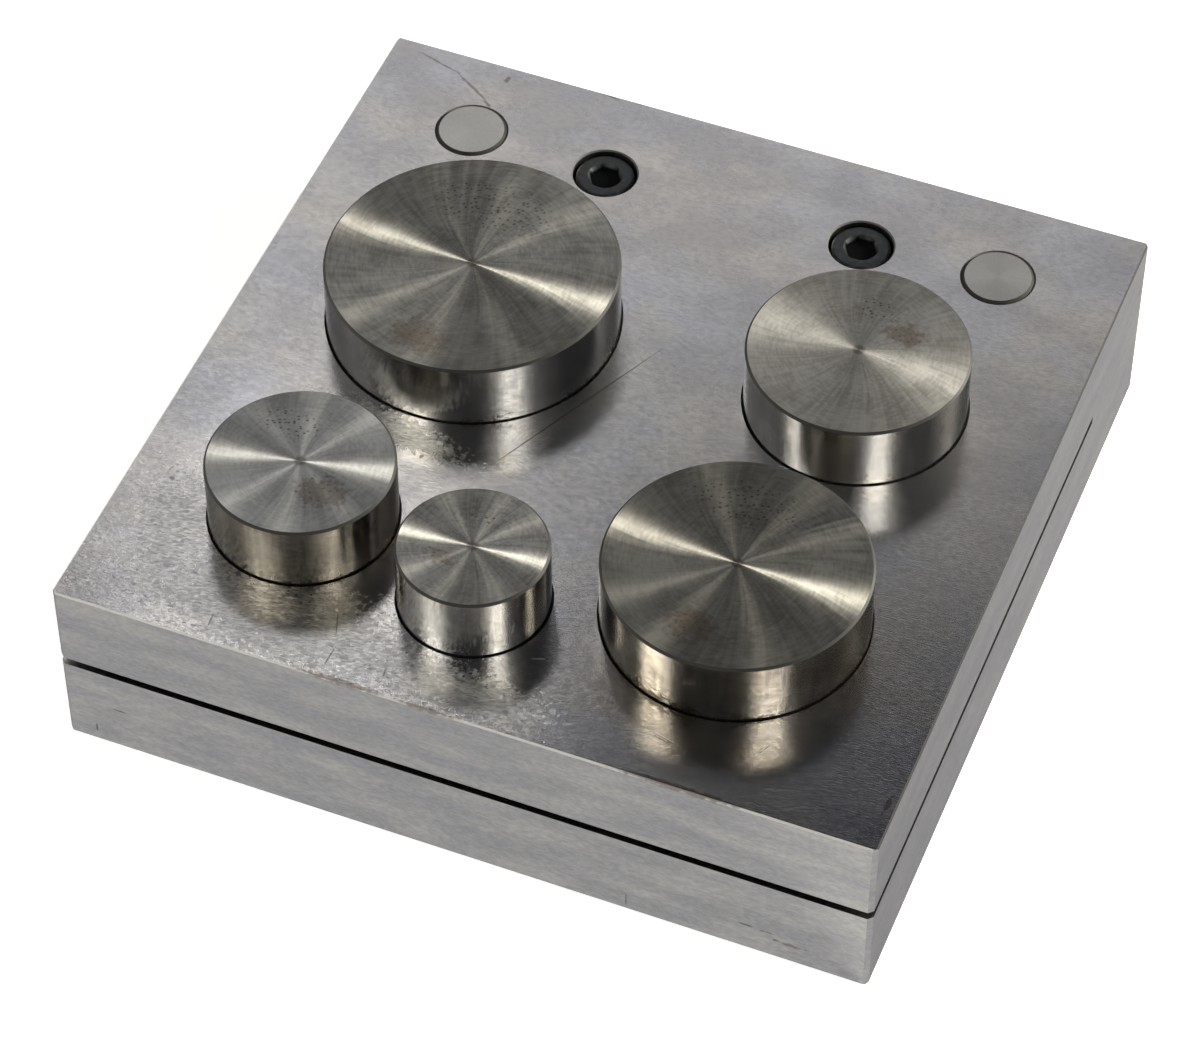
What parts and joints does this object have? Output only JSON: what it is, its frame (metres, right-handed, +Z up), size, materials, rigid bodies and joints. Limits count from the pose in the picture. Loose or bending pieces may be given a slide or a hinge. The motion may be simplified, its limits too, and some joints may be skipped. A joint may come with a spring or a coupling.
{
  "type": "disc cutter",
  "caption": "Square two-plate steel die set with a thin sheet slot, round punches of graded sizes standing in guide holes, dowel pins and cap screws.",
  "frame": {"origin": "centre of the lower plate's underside, which stands on the bench", "axes": "+Z up along the punches, -Y towards the open front of the slot, -X to the user's left"},
  "size_m": [0.0714, 0.0714, 0.0244],
  "materials": {
    "plate_steel": "ground steel, stained and rubbed",
    "punch_steel": "hardened steel, ends faced on a lathe and sides ground",
    "dowel_steel": "ground dowel pin",
    "blackened_steel": "black oxide with a trace of oil"
  },
  "bodies": {
    "plates": {"die_plate": "plate_steel", "guide_plate": "plate_steel", "dowel_pin_left": "dowel_steel", "dowel_pin_right": "dowel_steel", "cap_screw_left": "blackened_steel", "cap_screw_right": "blackened_steel"},
    "largest_punch": {"punch_1_in": "punch_steel"},
    "second_punch": {"punch_7_8_in": "punch_steel"},
    "third_punch": {"punch_3_4_in": "punch_steel"},
    "fourth_punch": {"punch_5_8_in": "punch_steel"},
    "smallest_punch": {"punch_1_2_in": "punch_steel"}
  },
  "joints": [
    {"name": "lift_1_in", "type": "slide", "parent": "plates", "child": "largest_punch", "axis": [0, 0, 1], "range_m": [0, 0.02]},
    {"name": "lift_7_8_in", "type": "slide", "parent": "plates", "child": "second_punch", "axis": [0, 0, 1], "range_m": [0, 0.02]},
    {"name": "lift_3_4_in", "type": "slide", "parent": "plates", "child": "third_punch", "axis": [0, 0, 1], "range_m": [0, 0.02]},
    {"name": "lift_5_8_in", "type": "slide", "parent": "plates", "child": "fourth_punch", "axis": [0, 0, 1], "range_m": [0, 0.02]},
    {"name": "lift_1_2_in", "type": "slide", "parent": "plates", "child": "smallest_punch", "axis": [0, 0, 1], "range_m": [0, 0.02]}
  ]
}
